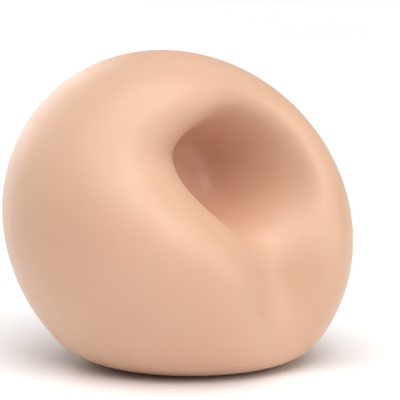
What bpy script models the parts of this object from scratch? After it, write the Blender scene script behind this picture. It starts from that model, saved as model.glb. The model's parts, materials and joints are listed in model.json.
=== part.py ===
"""A dough-filled stress ball, with the dent that a fingertip has left in it.

The row frame: the origin is the centre of the flat patch that the ball stands on, +Z is up, and
+X is the side that the finger comes from. Metres throughout; angles are in degrees.

Every piece is drawn as a flat profile of (arc, depth) points and spun about the press pole. Arc is
the distance along the round ball from the press pole, where the finger first touches it, and depth
is measured inward from the outer skin. Laying the spun profile on the pressed ball gives the piece.
"""

import math

import bmesh
import bpy
from mathutils import Vector

# The ball before it is pressed. It sinks on to its base, whose edge is rounded.
BALL_RADIUS = 0.0330
BASE_SINK = 0.0070
BASE_ROUNDING = 0.0050
SKIN_WALL = 0.0020
FIT_GAP = 0.0003

# The press: a fingertip pushes along -X and slightly down, above the ball's centre.
PRESS_DEPTH = 0.0320
PRESS_RISE = 0.0091
PRESS_TILT = 6.5
FINGER_RADIUS = 0.0088
FINGER_BLUNTNESS = 4.0
PRESS_FRONT_START = -0.0080
PRESS_FRONT_END = 0.0140

# The funnel that the finger draws down around itself, wider on the thumb's side (-Y).
FUNNEL_SHARE = 0.77
FUNNEL_WIDTH_NEAR = 0.0142
FUNNEL_WIDTH_FAR = 0.0062
FUNNEL_WIDTH_UP = 0.0062
FUNNEL_WIDTH_DOWN = 0.0100
FUNNEL_RISE = 0.0033

# The crease that runs down from the dent, with its ends given from the ball's centre.
CREASE_SHARE = 0.29
CREASE_OFFSET = -0.0012
CREASE_WIDTH = 0.0058
CREASE_BOTTOM = -0.0260
CREASE_TOP = -0.0060
CREASE_FADE_START = -0.0020
CREASE_FADE_END = 0.0080

# The whole ball leans back from the finger, and its base and its plug stay put.
LEAN_SHARE = 0.23
LEAN_FREE_START = 0.0080
LEAN_FREE_END = 0.0280

# The patch of skin under the fingertip, and how far round it the wall's direction turns.
PATCH_RADIUS = 0.0037
PATCH_BLEND = 0.0040

# The filling neck, its stopper and the ring of glue, all about the pole opposite the press.
NECK_BORE_RADIUS = 0.0035
NECK_WALL = 0.0019
NECK_LENGTH = 0.0060
NECK_FILLET = 0.0005
PLUG_STEM_LENGTH = 0.0050
PLUG_STEM_TIP_CHAMFER = 0.0006
PLUG_HEAD_RADIUS = 0.0050
PLUG_HEAD_THICKNESS = 0.0008
PLUG_HEAD_CHAMFER = 0.0003
PLUG_NUB_RADIUS = 0.0009
PLUG_NUB_HEIGHT = 0.0005
PLUG_NUB_TAPER = 0.0002
GLUE_WIDTH = 0.0010
GLUE_HEIGHT = 0.0006

# Base colour (linear) and roughness of each material.
SKIN_FINISH = ((0.82, 0.49, 0.33), 0.42)
FILLING_FINISH = ((0.85, 0.80, 0.70), 0.70)
PLUG_FINISH = ((0.74, 0.42, 0.28), 0.50)
GLUE_FINISH = ((0.78, 0.62, 0.42), 0.18)

# How finely the pieces are divided, and where their shading breaks.
SEGMENTS = 36
STATIONS = 31
STATION_CROWDING = 1.3
BEAD_STEPS = 4
SHARP_ANGLE = 50.0
NORMAL_STEP = 0.01
WELD_DISTANCE = 5e-6

HALF_GIRTH = math.pi * BALL_RADIUS
PATCH_MIDDLE = PATCH_RADIUS / 2.0
BALL_CENTRE = Vector((0.0, 0.0, BALL_RADIUS - BASE_SINK))
BALL_TOP = BALL_CENTRE.z + BALL_RADIUS
PRESS_AXIS = Vector((math.cos(math.radians(PRESS_TILT)), 0.0, math.sin(math.radians(PRESS_TILT))))


def smooth_step(start, end, value):
    """Rise smoothly from 0 at start to 1 at end."""
    share = min(max((value - start) / (end - start), 0.0), 1.0)
    return share * share * (3.0 - 2.0 * share)


def bell(offset, width):
    """A bell curve that is 1 at no offset."""
    return math.exp(-0.5 * (offset / width) ** 2)


def press_pole():
    """Where the press axis leaves the round ball."""
    start = Vector((0.0, 0.0, PRESS_RISE))
    along = start.dot(PRESS_AXIS)
    reach = math.sqrt(along * along - start.length_squared + BALL_RADIUS**2) - along
    return BALL_CENTRE + start + PRESS_AXIS * reach


PRESS_POLE = press_pole()
POLE_DIRECTION = (PRESS_POLE - BALL_CENTRE).normalized()
PLUG_CENTRE = BALL_CENTRE - POLE_DIRECTION * BALL_RADIUS
ACROSS = Vector((0.0, 1.0, 0.0))
UPWARD = POLE_DIRECTION.cross(ACROSS).normalized() * -1.0


def dent_share(point):
    """How far a point of the round ball follows the finger in the dent, from 0 to 1."""
    tilt = math.radians(PRESS_TILT)
    side = point.y
    above = point.z - BALL_CENTRE.z
    rise = (above - PRESS_RISE) * math.cos(tilt) - point.x * math.sin(tilt)
    pit = math.exp(-((math.hypot(side, rise) / FINGER_RADIUS) ** FINGER_BLUNTNESS))
    width = FUNNEL_WIDTH_FAR if side > 0.0 else FUNNEL_WIDTH_NEAR
    height = FUNNEL_WIDTH_UP if rise > FUNNEL_RISE else FUNNEL_WIDTH_DOWN
    funnel = FUNNEL_SHARE * bell(side, width) * bell(rise - FUNNEL_RISE, height)
    crease = CREASE_SHARE * bell(side - CREASE_OFFSET, CREASE_WIDTH)
    crease *= smooth_step(CREASE_BOTTOM, CREASE_TOP, above)
    crease *= 1.0 - smooth_step(CREASE_FADE_START, CREASE_FADE_END, rise)
    left = (1.0 - pit) * (1.0 - funnel) * (1.0 - crease)
    return (1.0 - left) * smooth_step(PRESS_FRONT_START, PRESS_FRONT_END, point.x)


def lean_share(point):
    """How far a point leans back with the ball, from 0 at the base and at the plug."""
    free = smooth_step(LEAN_FREE_START, LEAN_FREE_END, (point - PLUG_CENTRE).length)
    return LEAN_SHARE * min(max(point.z / BALL_TOP, 0.0), 1.0) * free


def pressed(point):
    """Move a point of the round ball to where it lies once the ball is pressed and set down."""
    share = 1.0 - (1.0 - dent_share(point)) * (1.0 - lean_share(point))
    moved = point - PRESS_AXIS * (PRESS_DEPTH * share)
    if moved.z < -BASE_ROUNDING:
        moved.z = 0.0
    elif moved.z < BASE_ROUNDING:
        moved.z = (moved.z + BASE_ROUNDING) ** 2 / (4.0 * BASE_ROUNDING)
    return moved


def ball_direction(arc, turn):
    """The direction from the ball's centre at an arc from the press pole and a turn about it."""
    angle = arc / BALL_RADIUS
    around = ACROSS * math.cos(turn) + UPWARD * math.sin(turn)
    return POLE_DIRECTION * math.cos(angle) + around * math.sin(angle)


def surface_point(direction):
    """The pressed outer skin in one direction from the round ball's centre."""
    return pressed(BALL_CENTRE + direction.normalized() * BALL_RADIUS)


def surface_normal(direction):
    """The outward normal of the pressed outer skin."""
    first = direction.orthogonal().normalized()
    second = direction.cross(first)
    along = surface_point(direction + first * NORMAL_STEP) - surface_point(direction - first * NORMAL_STEP)
    aside = surface_point(direction + second * NORMAL_STEP) - surface_point(direction - second * NORMAL_STEP)
    return along.cross(aside).normalized()


def outward(direction, arc):
    """Which way depth is measured: along the press axis at the patch, then square to the skin."""
    hole = PATCH_RADIUS + FIT_GAP
    share = smooth_step(hole, hole + PATCH_BLEND, arc)
    return PRESS_AXIS.lerp(surface_normal(direction), share).normalized()


def laid_on_ball(flat_point):
    """Lay a point of the spun profile, whose height is minus its depth, on the pressed ball."""
    arc = math.hypot(flat_point.x, flat_point.y)
    turn = math.atan2(flat_point.y, flat_point.x)
    direction = ball_direction(arc, turn)
    return surface_point(direction) + outward(direction, arc) * flat_point.z


def stations(start, end, count):
    """Arcs from start to end, closer together near the press."""
    return [start + (end - start) * (step / (count - 1)) ** STATION_CROWDING for step in range(count)]


def spun(profile, closed):
    """Spin a profile of (arc, depth) points about the press pole.

    An open profile starts and ends on a pole, and a closed one is a loop that reaches neither.
    """
    mesh = bmesh.new()
    points = [mesh.verts.new((arc, 0.0, -depth)) for arc, depth in profile]
    edges = [mesh.edges.new(pair) for pair in zip(points, points[1:])]
    if closed:
        edges.append(mesh.edges.new((points[-1], points[0])))
    bmesh.ops.spin(
        mesh,
        geom=points + edges,
        cent=(0.0, 0.0, 0.0),
        axis=(0.0, 0.0, 1.0),
        angle=2.0 * math.pi,
        steps=SEGMENTS,
        use_merge=True,
    )
    return mesh


def finish_piece(mesh, name, origin, finish):
    """Close the seams, face everything outward and make the object with its own material."""
    bmesh.ops.remove_doubles(mesh, verts=mesh.verts, dist=WELD_DISTANCE)
    bmesh.ops.dissolve_degenerate(mesh, edges=mesh.edges, dist=WELD_DISTANCE)
    bmesh.ops.recalc_face_normals(mesh, faces=mesh.faces)
    bmesh.ops.translate(mesh, verts=mesh.verts, vec=-origin)
    data = bpy.data.meshes.new(name)
    mesh.to_mesh(data)
    mesh.free()
    data.shade_smooth()
    data.set_sharp_from_angle(angle=math.radians(SHARP_ANGLE))
    data.materials.append(principled(name, finish))
    piece = bpy.data.objects.new(name, data)
    piece.location = origin
    bpy.context.scene.collection.objects.link(piece)
    return piece


def principled(name, finish):
    """A plain non-metallic material of one colour and roughness."""
    colour, roughness = finish
    material = bpy.data.materials.new(name)
    material.use_nodes = True
    shader = material.node_tree.nodes["Principled BSDF"]
    shader.inputs["Base Color"].default_value = (*colour, 1.0)
    shader.inputs["Roughness"].default_value = roughness
    shader.inputs["Metallic"].default_value = 0.0
    return material


def spun_on_ball(profile, closed):
    """Spin a profile and lay it on the pressed ball."""
    mesh = spun(profile, closed)
    for vertex in mesh.verts:
        vertex.co = laid_on_ball(vertex.co)
    return mesh


def neck_outer_radius():
    """The outside of the filling neck, measured on the outer skin."""
    return NECK_BORE_RADIUS + NECK_WALL


def make_outer_skin():
    """The hollow skin with its inward filling neck, open under the fingertip and at the neck."""
    hole = PATCH_RADIUS + FIT_GAP
    bore = HALF_GIRTH - NECK_BORE_RADIUS
    neck_foot = HALF_GIRTH - neck_outer_radius() - NECK_FILLET
    arcs = stations(hole, neck_foot, STATIONS)
    outside = [(arc, 0.0) for arc in arcs] + [(bore, 0.0)]
    neck = [(bore, NECK_LENGTH), (HALF_GIRTH - neck_outer_radius(), NECK_LENGTH)]
    inside = [(arc, SKIN_WALL) for arc in reversed(arcs)]
    mesh = spun_on_ball(outside + neck + inside, closed=True)
    return finish_piece(mesh, "outer_skin", Vector(), SKIN_FINISH)


def make_press_patch():
    """The bit of the skin under the fingertip, with straight sides along the press axis."""
    arcs = (0.0, PATCH_MIDDLE, PATCH_RADIUS)
    front = [(arc, 0.0) for arc in arcs]
    back = [(arc, SKIN_WALL) for arc in reversed(arcs)]
    mesh = spun_on_ball(front + back, closed=False)
    return finish_piece(mesh, "press_patch", surface_point(POLE_DIRECTION), SKIN_FINISH)


def make_dough_filling():
    """The thick filling, which fills the skin and goes round the filling neck."""
    depth = SKIN_WALL + FIT_GAP
    neck_depth = NECK_LENGTH + FIT_GAP
    neck_edge = HALF_GIRTH - neck_outer_radius() - NECK_FILLET - 2.0 * FIT_GAP
    arcs = [0.0, PATCH_MIDDLE, *stations(PATCH_RADIUS + FIT_GAP, neck_edge, STATIONS)]
    profile = [(arc, depth) for arc in arcs]
    profile += [(neck_edge + NECK_FILLET, neck_depth), (HALF_GIRTH, neck_depth)]
    mesh = spun_on_ball(profile, closed=False)
    return finish_piece(mesh, "dough_filling", Vector(), FILLING_FINISH)


def make_fill_plug():
    """The tapered stopper with a thin head and a small moulding nub on it."""
    stem = NECK_BORE_RADIUS - FIT_GAP
    head_top = FIT_GAP + PLUG_HEAD_THICKNESS
    nub_top = head_top + PLUG_NUB_HEIGHT
    profile = [
        (0.0, PLUG_STEM_LENGTH),
        (stem - PLUG_STEM_TIP_CHAMFER, PLUG_STEM_LENGTH),
        (stem, PLUG_STEM_LENGTH - PLUG_STEM_TIP_CHAMFER),
        (stem, -FIT_GAP),
        (PLUG_HEAD_RADIUS, -FIT_GAP),
        (PLUG_HEAD_RADIUS, PLUG_HEAD_CHAMFER - head_top),
        (PLUG_HEAD_RADIUS - PLUG_HEAD_CHAMFER, -head_top),
        (PLUG_NUB_RADIUS, -head_top),
        (PLUG_NUB_RADIUS - PLUG_NUB_TAPER, -nub_top),
        (0.0, -nub_top),
    ]
    mesh = spun_on_ball([(HALF_GIRTH - radius, depth) for radius, depth in profile], closed=False)
    return finish_piece(mesh, "fill_plug", PLUG_CENTRE, PLUG_FINISH)


def make_plug_glue():
    """The bead of cured glue round the stopper's head, with a rounded back."""
    middle = PLUG_HEAD_RADIUS + FIT_GAP + GLUE_WIDTH / 2.0
    turns = [math.pi * step / BEAD_STEPS for step in range(BEAD_STEPS + 1)]
    profile = [
        (HALF_GIRTH - middle + math.cos(turn) * GLUE_WIDTH / 2.0, -FIT_GAP - math.sin(turn) * GLUE_HEIGHT)
        for turn in turns
    ]
    mesh = spun_on_ball(profile, closed=True)
    return finish_piece(mesh, "plug_glue", PLUG_CENTRE, GLUE_FINISH)


def build():
    """Clear the scene and make every piece."""
    for item in list(bpy.data.objects):
        bpy.data.objects.remove(item, do_unlink=True)
    make_outer_skin()
    make_press_patch()
    make_dough_filling()
    make_fill_plug()
    make_plug_glue()


build()
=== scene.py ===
"""The looks of a dough-filled stress ball that stands with the dent of one fingertip in it.

The frame is in metres: the origin is the middle of the flat patch that the ball stands on, +Z is up
and +X is the side that the finger comes from. Every piece is drawn as a flat profile of arc and
depth, spun about the press pole and laid on the pressed ball. Arc is the distance along the round
ball from the press pole, and depth is measured inward from the outer skin.
"""

import json
import logging
import math
from dataclasses import dataclass
from enum import Enum

import bmesh
import bpy
import numpy as np
from mathutils import Matrix, Vector


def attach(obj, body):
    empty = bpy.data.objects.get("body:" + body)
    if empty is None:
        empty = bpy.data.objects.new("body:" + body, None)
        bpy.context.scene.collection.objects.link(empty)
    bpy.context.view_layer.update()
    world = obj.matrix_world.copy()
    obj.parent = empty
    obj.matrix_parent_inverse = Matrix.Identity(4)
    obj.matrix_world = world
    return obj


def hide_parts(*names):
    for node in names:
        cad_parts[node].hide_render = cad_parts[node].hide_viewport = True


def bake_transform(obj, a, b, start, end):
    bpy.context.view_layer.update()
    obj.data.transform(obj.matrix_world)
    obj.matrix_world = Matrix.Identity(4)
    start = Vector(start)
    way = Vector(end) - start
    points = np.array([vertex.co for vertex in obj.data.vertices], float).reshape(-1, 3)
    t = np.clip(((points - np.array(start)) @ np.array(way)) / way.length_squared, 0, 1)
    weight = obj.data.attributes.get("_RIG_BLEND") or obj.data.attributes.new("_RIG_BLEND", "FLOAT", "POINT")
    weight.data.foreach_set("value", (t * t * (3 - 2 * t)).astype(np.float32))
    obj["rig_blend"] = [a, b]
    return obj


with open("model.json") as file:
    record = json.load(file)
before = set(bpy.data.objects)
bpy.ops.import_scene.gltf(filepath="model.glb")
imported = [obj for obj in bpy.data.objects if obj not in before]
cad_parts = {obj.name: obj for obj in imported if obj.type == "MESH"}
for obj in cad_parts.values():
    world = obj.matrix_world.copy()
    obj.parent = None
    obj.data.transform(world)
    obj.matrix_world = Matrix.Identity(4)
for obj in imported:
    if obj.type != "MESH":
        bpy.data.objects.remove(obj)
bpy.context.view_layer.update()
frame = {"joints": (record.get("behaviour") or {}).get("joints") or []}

LOG = logging.getLogger("stress_ball")
Profile = list[tuple[float, float]]
Colour = tuple[float, float, float]
Socket = bpy.types.NodeSocket


class Body(Enum):
    """The two bodies of the press."""

    BALL = "ball"
    PATCH = "press_patch"


class Slot(Enum):
    """The record's material slots."""

    SKIN = "skin"
    FILLING = "filling"
    PLUG = "plug"
    GLUE = "glue"


class Place(Enum):
    """The mesh attributes that the finishes and the bending read."""

    FOLLOW = "follow"
    DENT = "dent"
    ON_BALL = "on_ball"
    BEND = "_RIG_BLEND"


def smooth_step(start: float, end: float, value: np.ndarray) -> np.ndarray:
    """Rise smoothly from 0 to 1.

    Args:
        start: The value at which the rise begins.
        end: The value at which it is complete.
        value: The values to look up.

    Returns:
        The share risen at each value.
    """
    share = np.clip((value - start) / (end - start), 0.0, 1.0)
    return share * share * (3.0 - 2.0 * share)


def bell(offset: np.ndarray, width: float | np.ndarray) -> np.ndarray:
    """Look up a bell curve.

    Args:
        offset: The distances from its middle.
        width: Its standard width.

    Returns:
        The height at each offset, which is 1 in the middle.
    """
    return np.exp(-0.5 * (offset / width) ** 2)


def unit(vectors: np.ndarray) -> np.ndarray:
    """Scale each row of an array of vectors to length 1."""
    return vectors / np.linalg.norm(vectors, axis=-1, keepdims=True)


@dataclass(frozen=True)
class RoundBall:
    """The ball before it is pressed. It sinks on to a base with a rounded edge."""

    radius: float = 0.0330
    base_sink: float = 0.0070
    base_rounding: float = 0.0050

    @property
    def centre(self) -> np.ndarray:
        """The middle of the ball."""
        return np.array((0.0, 0.0, self.radius - self.base_sink))

    @property
    def top(self) -> float:
        """The height of the ball's top."""
        return 2.0 * self.radius - self.base_sink

    @property
    def half_girth(self) -> float:
        """The arc from one pole to the other."""
        return math.pi * self.radius

    def rested(self, points: np.ndarray) -> np.ndarray:
        """Flatten what would lie below the table, with a rounded edge.

        Args:
            points: Points in the row frame.

        Returns:
            The points as they lie once the ball is set down.
        """
        reach = self.base_rounding
        height = points[:, 2]
        rounded = (height + reach) ** 2 / (4.0 * reach)
        set_down = points.copy()
        set_down[:, 2] = np.where(height < -reach, 0.0, np.where(height < reach, rounded, height))
        return set_down


@dataclass(frozen=True)
class FingerPress:
    """The dent that one fingertip leaves, and how far each point of the ball follows it."""

    ball: RoundBall
    axis: np.ndarray
    depth: float
    rise: float = 0.0091
    finger_radius: float = 0.0088
    bluntness: float = 4.0
    front_start: float = -0.0080
    front_end: float = 0.0140
    funnel: float = 0.77
    funnel_near: float = 0.0142
    funnel_far: float = 0.0062
    funnel_up: float = 0.0062
    funnel_down: float = 0.0100
    funnel_rise: float = 0.0033
    crease: float = 0.29
    crease_offset: float = -0.0012
    crease_width: float = 0.0058
    crease_bottom: float = -0.0260
    crease_top: float = -0.0060
    crease_fade_start: float = -0.0020
    crease_fade_end: float = 0.0080
    lean: float = 0.23
    lean_free_start: float = 0.0080
    lean_free_end: float = 0.0280
    patch_radius: float = 0.0037
    patch_gap: float = 0.0003
    patch_blend: float = 0.0040
    normal_step: float = 0.01
    steep: float = 0.9

    @property
    def across(self) -> np.ndarray:
        """The direction across the press, level with the table."""
        return np.array((0.0, 1.0, 0.0))

    @property
    def pole_direction(self) -> np.ndarray:
        """The direction from the ball's centre to where the finger first touches it."""
        start = np.array((0.0, 0.0, self.rise))
        along = float(start @ self.axis)
        reach = math.sqrt(along**2 - float(start @ start) + self.ball.radius**2) - along
        return unit(start + self.axis * reach)

    @property
    def plug_centre(self) -> np.ndarray:
        """The middle of the filling hole, opposite the press."""
        return self.ball.centre - self.pole_direction * self.ball.radius

    def dent_share(self, points: np.ndarray) -> np.ndarray:
        """How far points of the round ball go down with the finger.

        Args:
            points: Points of the round ball.

        Returns:
            The share of the press depth that each goes, from 0 to 1.
        """
        tilt = math.atan2(self.axis[2], self.axis[0])
        front, side = points[:, 0], points[:, 1]
        above = points[:, 2] - self.ball.centre[2]
        rise = (above - self.rise) * math.cos(tilt) - front * math.sin(tilt)
        pit = np.exp(-((np.hypot(side, rise) / self.finger_radius) ** self.bluntness))
        width = np.where(side > 0.0, self.funnel_far, self.funnel_near)
        height = np.where(rise > self.funnel_rise, self.funnel_up, self.funnel_down)
        funnel = self.funnel * bell(side, width) * bell(rise - self.funnel_rise, height)
        crease = self.crease * bell(side - self.crease_offset, self.crease_width)
        crease *= smooth_step(self.crease_bottom, self.crease_top, above)
        crease *= 1.0 - smooth_step(self.crease_fade_start, self.crease_fade_end, rise)
        left = (1.0 - pit) * (1.0 - funnel) * (1.0 - crease)
        return (1.0 - left) * smooth_step(self.front_start, self.front_end, front)

    def lean_share(self, points: np.ndarray) -> np.ndarray:
        """How far points of the round ball lean back with it.

        Args:
            points: Points of the round ball.

        Returns:
            The share of the press depth, which is 0 at the base and at the plug.
        """
        away = np.linalg.norm(points - self.plug_centre, axis=1)
        free = smooth_step(self.lean_free_start, self.lean_free_end, away)
        return self.lean * np.clip(points[:, 2] / self.ball.top, 0.0, 1.0) * free

    def share(self, points: np.ndarray) -> np.ndarray:
        """How far points of the round ball follow the finger in all."""
        return 1.0 - (1.0 - self.dent_share(points)) * (1.0 - self.lean_share(points))

    def pressed(self, points: np.ndarray) -> np.ndarray:
        """Where points of the round ball lie once it is pressed and set down."""
        moved = points - self.axis * (self.depth * self.share(points))[:, None]
        return self.ball.rested(moved)

    def kept_inside(self, laid: np.ndarray, depths: np.ndarray, shares: np.ndarray) -> np.ndarray:
        """Hold what lies under the skin inside the ball when that is round again.

        Args:
            laid: Points of the pressed ball.
            depths: How deep each lies under the outer skin.
            shares: How far each would follow the finger.

        Returns:
            The shares, unchanged on the outer skin.
        """
        offset = laid - self.ball.centre
        along = offset @ self.axis
        gap = along**2 - np.sum(offset**2, axis=1) + (self.ball.radius - depths) ** 2
        reach = np.sqrt(np.clip(gap, 0.0, None)) - along
        held = np.clip(np.minimum(shares, reach / self.depth), 0.0, 1.0)
        return np.where(depths > 0.0, held, shares)

    def directions(self, arcs: np.ndarray, turns: np.ndarray) -> np.ndarray:
        """Turn places on the round ball into directions from its centre.

        Args:
            arcs: The arcs from the press pole.
            turns: The turns about it, in radians.

        Returns:
            One direction to a row.
        """
        upward = -np.cross(self.pole_direction, self.across)
        angle = (arcs / self.ball.radius)[:, None]
        around = self.across * np.cos(turns)[:, None] + upward * np.sin(turns)[:, None]
        return self.pole_direction * np.cos(angle) + around * np.sin(angle)

    def round_points(self, directions: np.ndarray) -> np.ndarray:
        """The round ball's skin in each direction from its centre."""
        return self.ball.centre + unit(directions) * self.ball.radius

    def surface(self, directions: np.ndarray) -> np.ndarray:
        """The pressed outer skin in each direction from the round ball's centre."""
        return self.pressed(self.round_points(directions))

    def normals(self, directions: np.ndarray) -> np.ndarray:
        """The outward normals of the pressed outer skin.

        Args:
            directions: Directions from the round ball's centre.

        Returns:
            One normal to a row.
        """
        steep = np.abs(directions @ self.across)[:, None] > self.steep
        helper = np.where(steep, self.pole_direction, self.across)
        first = unit(np.cross(directions, helper)) * self.normal_step
        second = np.cross(directions, first)
        along = self.surface(directions + first) - self.surface(directions - first)
        aside = self.surface(directions + second) - self.surface(directions - second)
        return unit(np.cross(along, aside))

    def lay(self, flat: np.ndarray) -> tuple[np.ndarray, np.ndarray]:
        """Lay points of a spun profile on the pressed ball.

        Args:
            flat: Points whose distance from the Z axis is their arc and whose height is minus their depth.

        Returns:
            The points in the row frame, and the points of the round ball that they lie on.
        """
        arcs = np.hypot(flat[:, 0], flat[:, 1])
        directions = self.directions(arcs, np.arctan2(flat[:, 1], flat[:, 0]))
        hole = self.patch_radius + self.patch_gap
        turned = smooth_step(hole, hole + self.patch_blend, arcs)[:, None]
        outward = unit(self.axis * (1.0 - turned) + self.normals(directions) * turned)
        round_points = self.round_points(directions)
        return self.pressed(round_points) + outward * flat[:, 2:], round_points


@dataclass(frozen=True)
class Clouds:
    """A cloudy pattern: the size of its clouds in metres, its finer layers and their strength."""

    size: float
    layers: float
    strength: float = 0.5


@dataclass(frozen=True)
class Stretch:
    """The part of a value's range from start to end, which becomes low to high."""

    start: float
    end: float
    low: float = 0.0
    high: float = 1.0


@dataclass(frozen=True)
class Relief:
    """A relief's depth in metres, and how much of it shows."""

    depth: float
    strength: float


@dataclass(frozen=True)
class Glow:
    """How much light spreads under a surface, how far in red, green and blue, and over what length."""

    weight: float
    radius: Colour
    scale: float


class Bench:
    """A new material's node tree, with short calls for adding and joining its nodes."""

    mix_share = 0
    mix_first = 6
    mix_second = 7
    mix_result = 2
    opaque = 1.0

    def __init__(self, name: str) -> None:
        """Start a material that holds only its shader and output.

        Args:
            name: The material's name.
        """
        self.material = bpy.data.materials.new(name)
        self.material.use_nodes = True
        self.tree = self.material.node_tree
        self.shader = self.tree.nodes["Principled BSDF"]

    def set(self, **values: float | tuple) -> None:
        """Set the shader's own sockets, whose names are given with _ for a space."""
        for name, value in values.items():
            self.shader.inputs[name.replace("_", " ")].default_value = value

    def glow(self, glow: Glow) -> None:
        """Let light spread under the surface."""
        self.set(Subsurface_Weight=glow.weight, Subsurface_Radius=glow.radius, Subsurface_Scale=glow.scale)

    def feed(self, socket: str, source: Socket) -> None:
        """Join a source to one of the shader's sockets."""
        self.tree.links.new(source, self.shader.inputs[socket])

    def attribute(self, place: Place) -> bpy.types.Node:
        """Add a node that reads one of the mesh's attributes.

        Args:
            place: The attribute.

        Returns:
            The new node.
        """
        node = self.tree.nodes.new("ShaderNodeAttribute")
        node.attribute_name = place.value
        return node

    def coordinates(self) -> Socket:
        """Add a source of object coordinates."""
        return self.tree.nodes.new("ShaderNodeTexCoord").outputs["Object"]

    def noise(self, place: Socket, clouds: Clouds) -> Socket:
        """Add a cloudy pattern.

        Args:
            place: The coordinates that it follows.
            clouds: What its clouds are like.

        Returns:
            The pattern, about 0.5 on average.
        """
        node = self.tree.nodes.new("ShaderNodeTexNoise")
        node.inputs["Scale"].default_value = 1.0 / clouds.size
        node.inputs["Detail"].default_value = clouds.layers
        node.inputs["Roughness"].default_value = clouds.strength
        self.tree.links.new(place, node.inputs["Vector"])
        return node.outputs["Fac"]

    def spread(self, source: Socket, stretch: Stretch) -> Socket:
        """Stretch part of a source's range to another range.

        Args:
            source: The value to stretch.
            stretch: The two ranges.

        Returns:
            The stretched value, held within the second range.
        """
        node = self.tree.nodes.new("ShaderNodeMapRange")
        node.inputs["From Min"].default_value = stretch.start
        node.inputs["From Max"].default_value = stretch.end
        node.inputs["To Min"].default_value = stretch.low
        node.inputs["To Max"].default_value = stretch.high
        self.tree.links.new(source, node.inputs["Value"])
        return node.outputs["Result"]

    def mix(self, share: Socket, first: Colour | Socket, second: Colour) -> Socket:
        """Mix two colours by a pattern.

        Args:
            share: The pattern, from 0 for the first colour to 1 for the second.
            first: A linear colour, or a source of colour.
            second: A linear colour.

        Returns:
            The mixed colour.
        """
        node = self.tree.nodes.new("ShaderNodeMix")
        node.data_type = "RGBA"
        self.tree.links.new(share, node.inputs[self.mix_share])
        if isinstance(first, tuple):
            node.inputs[self.mix_first].default_value = (*first, self.opaque)
        else:
            self.tree.links.new(first, node.inputs[self.mix_first])
        node.inputs[self.mix_second].default_value = (*second, self.opaque)
        return node.outputs[self.mix_result]

    def bump(self, height: Socket, relief: Relief, below: Socket | None = None) -> Socket:
        """Add a relief.

        Args:
            height: The relief's pattern.
            relief: How deep and how strong it is.
            below: Another relief that this one lies on.

        Returns:
            The relief's normal.
        """
        node = self.tree.nodes.new("ShaderNodeBump")
        node.inputs["Strength"].default_value = relief.strength
        node.inputs["Distance"].default_value = relief.depth
        self.tree.links.new(height, node.inputs["Height"])
        if below is not None:
            self.tree.links.new(below, node.inputs["Normal"])
        return node.outputs["Normal"]


@dataclass(frozen=True)
class SkinFinish:
    """Soft satin elastomer, faintly mottled, with painted shade: darker and redder in the dent and its
    crease, by how far each point is pressed in.
    """

    pale: Colour = (0.625, 0.392, 0.268)
    deep: Colour = (0.600, 0.365, 0.243)
    flush: Colour = (0.615, 0.356, 0.247)
    # Painted shade: the darker, redder colour laid into the dent and its crease, standing in for the shade
    # there.
    painted_dent_shade: Colour = (0.56, 0.29, 0.19)
    mottling: Clouds = Clouds(size=0.016, layers=3.0)
    mottled: Stretch = Stretch(start=0.35, end=0.65)
    flushing: Clouds = Clouds(size=0.028, layers=2.0)
    flushed: Stretch = Stretch(start=0.45, end=0.75, high=0.7)
    grain: Clouds = Clouds(size=0.0011, layers=3.0, strength=0.6)
    specks: Stretch = Stretch(start=0.55, end=0.75, high=0.25)
    # How much of the painted dent shade shows, by the dent share.
    dented: Stretch = Stretch(start=0.10, end=1.0, high=0.75)
    sheen_clouds: Clouds = Clouds(size=0.0035, layers=4.0)
    roughness: Stretch = Stretch(start=0.35, end=0.65, low=0.38, high=0.48)
    peel: Clouds = Clouds(size=0.0022, layers=2.0)
    peel_relief: Relief = Relief(depth=0.00006, strength=0.35)
    grain_relief: Relief = Relief(depth=0.000025, strength=0.35)
    glow: Glow = Glow(weight=0.30, radius=(1.0, 0.42, 0.24), scale=0.0035)
    shine: float = 0.5
    sheen: float = 0.06
    sheen_roughness: float = 0.45

    def material(self) -> bpy.types.Material:
        """Make the material.

        Returns:
            The new material.
        """
        bench = Bench("skin_satin_elastomer")
        place = bench.attribute(Place.ON_BALL).outputs["Vector"]
        dent = bench.attribute(Place.DENT).outputs["Fac"]
        grain = bench.noise(place, self.grain)
        mottled = bench.spread(bench.noise(place, self.mottling), self.mottled)
        colour = bench.mix(mottled, self.pale, self.deep)
        flushed = bench.spread(bench.noise(place, self.flushing), self.flushed)
        colour = bench.mix(flushed, colour, self.flush)
        colour = bench.mix(bench.spread(grain, self.specks), colour, self.deep)
        # Painted shade: darken and redden the skin by the dent share, most in the finger's pit and the
        # crease.
        colour = bench.mix(bench.spread(dent, self.dented), colour, self.painted_dent_shade)
        bench.feed("Base Color", colour)
        bench.feed("Roughness", bench.spread(bench.noise(place, self.sheen_clouds), self.roughness))
        peel = bench.bump(bench.noise(place, self.peel), self.peel_relief)
        bench.feed("Normal", bench.bump(grain, self.grain_relief, peel))
        bench.glow(self.glow)
        bench.set(Specular_IOR_Level=self.shine)
        bench.set(Sheen_Weight=self.sheen, Sheen_Roughness=self.sheen_roughness)
        return bench.material


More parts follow.
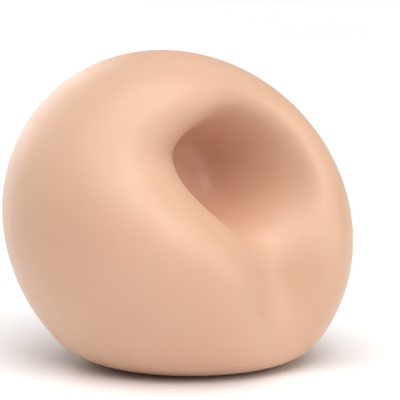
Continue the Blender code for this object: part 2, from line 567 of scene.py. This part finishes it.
@dataclass(frozen=True)
class DoughFinish:
    """Dense starchy dough, matt and a little lumpy."""

    pale: Colour = (0.87, 0.82, 0.72)
    deep: Colour = (0.78, 0.71, 0.58)
    lumps: Clouds = Clouds(size=0.005, layers=4.0)
    lumpy: Stretch = Stretch(start=0.35, end=0.65)
    lump_relief: Relief = Relief(depth=0.0003, strength=0.5)
    flour: Clouds = Clouds(size=0.001, layers=2.0)
    roughness: Stretch = Stretch(start=0.3, end=0.7, low=0.62, high=0.80)
    glow: Glow = Glow(weight=0.2, radius=(1.0, 0.8, 0.6), scale=0.002)

    def material(self) -> bpy.types.Material:
        """Make the material.

        Returns:
            The new material.
        """
        bench = Bench("filling_dough")
        place = bench.attribute(Place.ON_BALL).outputs["Vector"]
        lump = bench.noise(place, self.lumps)
        bench.feed("Base Color", bench.mix(bench.spread(lump, self.lumpy), self.pale, self.deep))
        bench.feed("Roughness", bench.spread(bench.noise(place, self.flour), self.roughness))
        bench.feed("Normal", bench.bump(lump, self.lump_relief))
        bench.glow(self.glow)
        return bench.material


@dataclass(frozen=True)
class PlugFinish:
    """A slightly firmer, deeper-coloured grade of the skin's elastomer, with a mould's fine texture."""

    pale: Colour = (0.77, 0.45, 0.31)
    deep: Colour = (0.69, 0.37, 0.24)
    mottling: Clouds = Clouds(size=0.002, layers=3.0)
    mottled: Stretch = Stretch(start=0.35, end=0.65)
    wear: Clouds = Clouds(size=0.0006, layers=3.0)
    roughness: Stretch = Stretch(start=0.3, end=0.7, low=0.42, high=0.58)
    texture: Clouds = Clouds(size=0.00035, layers=2.0)
    texture_relief: Relief = Relief(depth=0.00003, strength=0.5)
    glow: Glow = Glow(weight=0.15, radius=(1.0, 0.42, 0.24), scale=0.0015)

    def material(self) -> bpy.types.Material:
        """Make the material.

        Returns:
            The new material.
        """
        bench = Bench("plug_moulded_elastomer")
        place = bench.coordinates()
        mottled = bench.spread(bench.noise(place, self.mottling), self.mottled)
        bench.feed("Base Color", bench.mix(mottled, self.pale, self.deep))
        bench.feed("Roughness", bench.spread(bench.noise(place, self.wear), self.roughness))
        bench.feed("Normal", bench.bump(bench.noise(place, self.texture), self.texture_relief))
        bench.glow(self.glow)
        return bench.material


@dataclass(frozen=True)
class GlueFinish:
    """Clear amber glue, glossy, with a few cloudy patches."""

    clear: Colour = (0.80, 0.60, 0.40)
    cloudy: Colour = (0.84, 0.72, 0.55)
    clouds: Clouds = Clouds(size=0.0014, layers=3.0)
    clouded: Stretch = Stretch(start=0.5, end=0.7)
    roughness: Stretch = Stretch(start=0.45, end=0.7, low=0.10, high=0.28)
    ripples: Clouds = Clouds(size=0.0009, layers=1.0)
    ripple_relief: Relief = Relief(depth=0.00008, strength=0.4)
    glow: Glow = Glow(weight=0.25, radius=(1.0, 0.7, 0.4), scale=0.001)
    coat: float = 0.4
    coat_roughness: float = 0.08

    def material(self) -> bpy.types.Material:
        """Make the material.

        Returns:
            The new material.
        """
        bench = Bench("glue_amber")
        place = bench.coordinates()
        cloud = bench.noise(place, self.clouds)
        bench.feed("Base Color", bench.mix(bench.spread(cloud, self.clouded), self.clear, self.cloudy))
        bench.feed("Roughness", bench.spread(cloud, self.roughness))
        bench.feed("Normal", bench.bump(bench.noise(place, self.ripples), self.ripple_relief))
        bench.glow(self.glow)
        bench.set(Coat_Weight=self.coat, Coat_Roughness=self.coat_roughness)
        return bench.material


@dataclass(frozen=True)
class TableFinish:
    """White lacquer with a soft shine."""

    bright: Colour = (0.975, 0.965, 0.965)
    dull: Colour = (0.96, 0.95, 0.95)
    clouds: Clouds = Clouds(size=0.25, layers=2.0)
    roughness: Stretch = Stretch(start=0.3, end=0.7, low=0.28, high=0.34)

    def material(self) -> bpy.types.Material:
        """Make the material.

        Returns:
            The new material.
        """
        bench = Bench("table_white_lacquer")
        cloud = bench.noise(bench.coordinates(), self.clouds)
        bench.feed("Base Color", bench.mix(cloud, self.bright, self.dull))
        bench.feed("Roughness", bench.spread(cloud, self.roughness))
        return bench.material


@dataclass
class SpunPiece:
    """A piece that is spun about the press pole and laid on the pressed ball."""

    press: FingerPress
    name: str
    segments: int
    slot: Slot
    stands_for: tuple[str, ...]
    weld: float = 5e-6
    sharp_angle: float = 50.0

    def spin(self, profile: Profile, closed: bool) -> bmesh.types.BMesh:
        """Spin a profile about the press pole, still flat.

        Args:
            profile: The (arc, depth) points.
            closed: Whether the profile is a loop, and not an open line that ends on a pole.

        Returns:
            The spun mesh.
        """
        mesh = bmesh.new()
        points = [mesh.verts.new((arc, 0.0, -depth)) for arc, depth in profile]
        edges = [mesh.edges.new(pair) for pair in zip(points, points[1:])]
        if closed:
            edges.append(mesh.edges.new((points[-1], points[0])))
        bmesh.ops.spin(
            mesh,
            geom=points + edges,
            cent=(0.0, 0.0, 0.0),
            axis=(0.0, 0.0, 1.0),
            angle=2.0 * math.pi,
            steps=self.segments,
            use_merge=True,
        )
        return mesh

    def lay(self, mesh: bmesh.types.BMesh) -> None:
        """Lay a spun mesh on the pressed ball, and note on each point how far it follows the finger.

        Args:
            mesh: The spun mesh, still flat.
        """
        follow = mesh.verts.layers.float.new(Place.FOLLOW.value)
        dent = mesh.verts.layers.float.new(Place.DENT.value)
        on_ball = mesh.verts.layers.float_vector.new(Place.ON_BALL.value)
        flat = np.array([vertex.co for vertex in mesh.verts], float)
        laid, round_points = self.press.lay(flat)
        shares = self.press.kept_inside(laid, -flat[:, 2], self.press.share(round_points))
        rows = zip(mesh.verts, laid, round_points, shares, self.press.dent_share(round_points))
        for vertex, place, round_point, share, dented in rows:
            vertex.co = place
            vertex[follow] = share
            vertex[dent] = dented
            vertex[on_ball] = Vector(round_point)

    def finish(self, mesh: bmesh.types.BMesh, material: bpy.types.Material) -> bpy.types.Object:
        """Close the seams, face everything outward and make the object.

        Args:
            mesh: The laid mesh.
            material: The piece's material.

        Returns:
            The new object, at the origin.
        """
        bmesh.ops.remove_doubles(mesh, verts=mesh.verts, dist=self.weld)
        bmesh.ops.dissolve_degenerate(mesh, edges=mesh.edges, dist=self.weld)
        bmesh.ops.recalc_face_normals(mesh, faces=mesh.faces)
        data = bpy.data.meshes.new(self.name)
        mesh.to_mesh(data)
        mesh.free()
        data.shade_smooth()
        data.set_sharp_from_angle(angle=math.radians(self.sharp_angle))
        data.materials.append(material)
        piece = bpy.data.objects.new(self.name, data)
        bpy.context.scene.collection.objects.link(piece)
        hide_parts(*self.stands_for)
        LOG.info("%s: %d faces", self.name, len(data.polygons))
        return piece

    def bend(self, piece: bpy.types.Object) -> None:
        """Let each point of a piece follow the finger by its own share, between the two bodies.

        Args:
            piece: The finished piece, whose points carry their shares.
        """
        start = self.press.ball.centre - self.press.axis * self.press.ball.radius
        end = self.press.ball.centre + self.press.axis * self.press.ball.radius
        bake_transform(piece, Body.BALL.value, Body.PATCH.value, start=tuple(start), end=tuple(end))
        attributes = piece.data.attributes
        shares = np.zeros(len(piece.data.vertices), np.float32)
        attributes[Place.FOLLOW.value].data.foreach_get("value", shares)
        attributes[Place.BEND.value].data.foreach_set("value", shares)


def stations(start: float, end: float, count: int, crowding: float) -> list[float]:
    """Space arcs from start to end, closer together near the press.

    Args:
        start: The first arc.
        end: The last arc.
        count: How many there are.
        crowding: How strongly they crowd, from 1 for evenly spaced.

    Returns:
        The arcs in order.
    """
    return [start + (end - start) * (step / (count - 1)) ** crowding for step in range(count)]


@dataclass
class Skin(SpunPiece):
    """The hollow skin in one piece, with its inward filling neck."""

    wall: float = 0.0020
    bore: float = 0.0035
    neck_wall: float = 0.0019
    neck_length: float = 0.0060
    neck_fillet: float = 0.0005
    lip_rounding: float = 0.0004
    lip_turns: tuple[float, ...] = (0.5, 1.0, math.pi / 2.0)
    outside_stations: int = 218
    outside_crowding: float = 1.5
    inside_stations: int = 100
    inside_crowding: float = 1.4
    fill: float = 0.92

    def profile(self) -> Profile:
        """Draw the skin's cut edge.

        Returns:
            The line along the outside, down the filling neck and back along the inside.
        """
        girth = self.press.ball.half_girth
        bore = girth - self.bore
        neck_outside = girth - self.bore - self.neck_wall
        lip = self.lip_rounding
        outside_arcs = stations(0.0, bore - lip, self.outside_stations, self.outside_crowding)
        outside = [(arc, 0.0) for arc in outside_arcs]
        rounded = [
            (bore - lip * (1.0 - math.sin(turn)), lip * (1.0 - math.cos(turn)))
            for turn in self.lip_turns
        ]
        neck = [
            (bore, self.neck_length),
            (neck_outside, self.neck_length),
            (neck_outside, self.wall + self.neck_fillet),
        ]
        inside_end = neck_outside - self.neck_fillet
        inside_arcs = stations(0.0, inside_end, self.inside_stations, self.inside_crowding)
        inside = [(arc, self.wall) for arc in reversed(inside_arcs)]
        return outside + rounded + neck + inside

    def build(self, finish: SkinFinish) -> bpy.types.Object:
        """Make the skin and let it bend with the finger.

        Args:
            finish: What it is made of.

        Returns:
            The finished piece.
        """
        mesh = self.spin(self.profile(), closed=False)
        self.lay(mesh)
        piece = self.finish(mesh, finish.material())
        self.bend(piece)
        return piece


@dataclass
class Dough(SpunPiece):
    """The filling, which fills the skin and goes round the filling neck."""

    wall: float = 0.0020
    gap: float = 0.0003
    neck_radius: float = 0.0054
    neck_length: float = 0.0060
    neck_fillet: float = 0.0005
    shoulder_stations: int = 110
    shoulder_crowding: float = 1.4
    floor_steps: int = 8

    def profile(self) -> Profile:
        """Draw the filling's outside.

        Returns:
            The line from the press pole to the pole opposite.
        """
        girth = self.press.ball.half_girth
        edge = girth - self.neck_radius - self.neck_fillet - 2.0 * self.gap
        depth = self.wall + self.gap
        neck_depth = self.neck_length + self.gap
        shoulder_arcs = stations(0.0, edge, self.shoulder_stations, self.shoulder_crowding)
        shoulder = [(arc, depth) for arc in shoulder_arcs]
        floor = [
            (edge + (girth - edge) * step / self.floor_steps, neck_depth)
            for step in range(1, self.floor_steps + 1)
        ]
        return shoulder + floor

    def build(self, finish: DoughFinish) -> bpy.types.Object:
        """Make the filling and let it bend with the finger.

        Args:
            finish: What it is made of.

        Returns:
            The finished piece.
        """
        mesh = self.spin(self.profile(), closed=False)
        self.lay(mesh)
        piece = self.finish(mesh, finish.material())
        self.bend(piece)
        return piece


@dataclass
class FillStopper(SpunPiece):
    """The tapered stopper, with a shallow dished head and the moulding nub on it."""

    gap: float = 0.0003
    bore: float = 0.0035
    stem_length: float = 0.0050
    tip_rounding: float = 0.0006
    head_radius: float = 0.0050
    head_thickness: float = 0.0008
    head_rounding: float = 0.0003
    dish_radius: float = 0.0036
    dish_depth: float = 0.00018
    nub_radius: float = 0.0009
    nub_height: float = 0.0005
    nub_rounding: float = 0.0002
    stem_ring: float = 0.0010
    dish_slope: float = 0.0003
    dish_middle: float = 0.5
    nub_apron: float = 0.0008
    nub_foot: float = 0.0002
    nub_foot_depth: float = 0.7
    nub_flat: float = 0.0004
    nub_crown: float = 0.0001
    rounding_steps: int = 5

    def profile(self) -> Profile:
        """Draw the stopper's outline.

        Returns:
            The line from the tip of its stem to the top of its nub.
        """
        stem = self.bore - self.gap
        top = -self.gap - self.head_thickness
        nub_top = top - self.nub_height
        turns = [math.pi / 2.0 * step / self.rounding_steps for step in range(self.rounding_steps + 1)]
        tip, head, nub = self.tip_rounding, self.head_rounding, self.nub_rounding
        outline = [(0.0, self.stem_length)]
        outline += [
            (stem - tip * (1.0 - math.sin(turn)), self.stem_length - tip * (1.0 - math.cos(turn)))
            for turn in turns
        ]
        outline += [(stem, self.stem_ring), (stem, -self.gap), (self.head_radius, -self.gap)]
        outline += [
            (self.head_radius - head * (1.0 - math.cos(turn)), top + head * (1.0 - math.sin(turn)))
            for turn in turns
        ]
        outline += [
            (self.dish_radius + self.dish_slope, top),
            (self.dish_radius, top + self.dish_depth * self.dish_middle),
            (self.dish_radius - self.dish_slope, top + self.dish_depth),
            (self.nub_radius + self.nub_apron, top + self.dish_depth),
            (self.nub_radius + self.nub_foot, top + self.dish_depth * self.nub_foot_depth),
            (self.nub_radius, top),
        ]
        outline += [
            (self.nub_radius - nub * (1.0 - math.cos(turn)), nub_top + nub * (1.0 - math.sin(turn)))
            for turn in turns
        ]
        outline += [(self.nub_flat, nub_top), (0.0, nub_top + self.nub_crown)]
        return [(self.press.ball.half_girth - radius, depth) for radius, depth in outline]

    def build(self, finish: PlugFinish) -> bpy.types.Object:
        """Make the stopper.

        Args:
            finish: What it is made of.

        Returns:
            The finished piece.
        """
        mesh = self.spin(self.profile(), closed=False)
        self.lay(mesh)
        piece = self.finish(mesh, finish.material())
        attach(piece, Body.BALL.value)
        return piece


@dataclass
class GlueBead(SpunPiece):
    """The bead of cured glue round the stopper's head, a little uneven all the way round."""

    head_radius: float = 0.0050
    gap: float = 0.0003
    width: float = 0.0010
    height: float = 0.0006
    unevenness: float = 0.16
    lobes: tuple[int, ...] = (3, 7, 11)
    arch_steps: int = 12

    def profile(self) -> Profile:
        """Draw the bead's cross-section.

        Returns:
            The loop, round on its back and flat against the skin.
        """
        middle = self.head_radius + self.gap + self.width / 2.0
        centre = self.press.ball.half_girth - middle
        turns = [math.pi * step / self.arch_steps for step in range(self.arch_steps + 1)]
        return [
            (centre + math.cos(turn) * self.width / 2.0, -self.gap - math.sin(turn) * self.height)
            for turn in turns
        ]

    def thin(self, mesh: bmesh.types.BMesh) -> None:
        """Thin the bead here and there, in height only, so that it stays inside its own room.

        Args:
            mesh: The spun bead, still flat.
        """
        for vertex in mesh.verts:
            turn = math.atan2(vertex.co.y, vertex.co.x)
            wave = sum(math.sin(lobe * turn + lobe) for lobe in self.lobes) / len(self.lobes)
            proud = vertex.co.z - self.gap
            vertex.co.z = self.gap + proud * (1.0 - self.unevenness * (1.0 + wave))

    def build(self, finish: GlueFinish) -> bpy.types.Object:
        """Make the bead.

        Args:
            finish: What it is made of.

        Returns:
            The finished piece.
        """
        mesh = self.spin(self.profile(), closed=True)
        self.thin(mesh)
        self.lay(mesh)
        piece = self.finish(mesh, finish.material())
        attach(piece, Body.BALL.value)
        return piece


@dataclass(frozen=True)
class SoftLight:
    """A broad soft light, far away, in a direction given from the camera's side of the ball."""

    name: str
    turn: float
    lift: float
    power: float
    spread: float


@dataclass
class Studio:
    """The white table, the soft lights and the camera."""

    aim_height: float = 0.0300
    aim_right: float = 0.00179
    aim_up: float = 0.00038
    azimuth: float = 42.0
    elevation: float = 8.0
    distance: float = 0.420
    lens: float = 201.06
    sensor: float = 36.0
    clip_start: float = 0.01
    clip_end: float = 50.0
    table_radius: float = 6.0
    table_sides: int = 96
    sky: float = 0.32
    sky_colour: tuple[float, ...] = (1.0, 1.0, 1.0, 1.0)
    lights: tuple[SoftLight, ...] = (
        SoftLight("overhead_softbox", 0.0, 76.0, 2.65, 66.0),
        SoftLight("right_softbox", 62.0, 20.0, 0.62, 40.0),
        SoftLight("front_softbox", 24.0, 46.0, 0.66, 40.0),
        SoftLight("left_softbox", -108.0, 38.0, 0.15, 40.0),
        SoftLight("rim_softbox", -150.0, 14.0, 0.80, 40.0),
    )

    @staticmethod
    def bearing(azimuth: float, elevation: float) -> Vector:
        """The direction from the ball to a place given by its angles in degrees."""
        turn, lift = math.radians(azimuth), math.radians(elevation)
        return Vector((math.cos(lift) * math.sin(turn), -math.cos(lift) * math.cos(turn), math.sin(lift)))

    @staticmethod
    def placed(point: Vector, facing: Vector) -> Matrix:
        """The place of a lamp or camera that stands at a point and looks back along a direction."""
        return Matrix.Translation(point) @ facing.to_track_quat("Z", "Y").to_matrix().to_4x4()

    def lay_table(self, finish: TableFinish) -> None:
        """Make the table top, which isn't part of the object.

        Args:
            finish: What it is made of.
        """
        mesh = bmesh.new()
        bmesh.ops.create_circle(mesh, cap_ends=True, segments=self.table_sides, radius=self.table_radius)
        data = bpy.data.meshes.new("table_top")
        mesh.to_mesh(data)
        mesh.free()
        data.materials.append(finish.material())
        table = bpy.data.objects.new("table_top", data)
        bpy.context.scene.collection.objects.link(table)

    def light(self) -> None:
        """Put up the surroundings and the broad soft lights."""
        world = bpy.data.worlds.new("studio_surroundings")
        world.use_nodes = True
        background = world.node_tree.nodes["Background"]
        background.inputs["Color"].default_value = self.sky_colour
        background.inputs["Strength"].default_value = self.sky
        bpy.context.scene.world = world
        for light in self.lights:
            lamp_data = bpy.data.lights.new(light.name, "SUN")
            lamp_data.energy = light.power
            lamp_data.angle = math.radians(light.spread)
            lamp = bpy.data.objects.new(light.name, lamp_data)
            facing = self.bearing(self.azimuth + light.turn, light.lift)
            lamp.matrix_world = self.placed(facing, facing)
            bpy.context.scene.collection.objects.link(lamp)

    def stand_camera(self) -> None:
        """Stand the camera in front of the ball."""
        facing = self.bearing(self.azimuth, self.elevation)
        turn = math.radians(self.azimuth)
        right = Vector((math.cos(turn), math.sin(turn), 0.0))
        up = facing.cross(right)
        aim = Vector((0.0, 0.0, self.aim_height)) + right * self.aim_right + up * self.aim_up
        data = bpy.data.cameras.new("camera")
        data.sensor_width = self.sensor
        data.lens = self.lens
        data.clip_start = self.clip_start
        data.clip_end = self.clip_end
        camera = bpy.data.objects.new("camera", data)
        camera.matrix_world = self.placed(aim + facing * self.distance, facing)
        bpy.context.scene.collection.objects.link(camera)
        bpy.context.scene.camera = camera
        bpy.context.scene.view_settings.view_transform = "Standard"


def press_from_frame() -> FingerPress:
    """Take the press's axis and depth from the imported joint.

    Returns:
        The press, on the round ball.
    """
    joint = frame["joints"][0]
    axis = unit(np.array(joint["axis"], float))
    return FingerPress(ball=RoundBall(), axis=axis, depth=float(joint["range_m"][1]))


def main() -> None:
    """Build the studio and the ball, piece by piece."""
    logging.basicConfig(level=logging.INFO, format="%(name)s: %(message)s")
    studio = Studio()
    studio.stand_camera()
    studio.lay_table(TableFinish())
    studio.light()
    press = press_from_frame()
    Skin(press, "ball_skin", 288, Slot.SKIN, ("outer_skin", "press_patch")).build(SkinFinish())
    Dough(press, "dough_body", 144, Slot.FILLING, ("dough_filling",)).build(DoughFinish())
    FillStopper(press, "fill_stopper", 96, Slot.PLUG, ("fill_plug",)).build(PlugFinish())
    GlueBead(press, "glue_bead", 144, Slot.GLUE, ("plug_glue",)).build(GlueFinish())


if __name__ == "__main__":
    main()
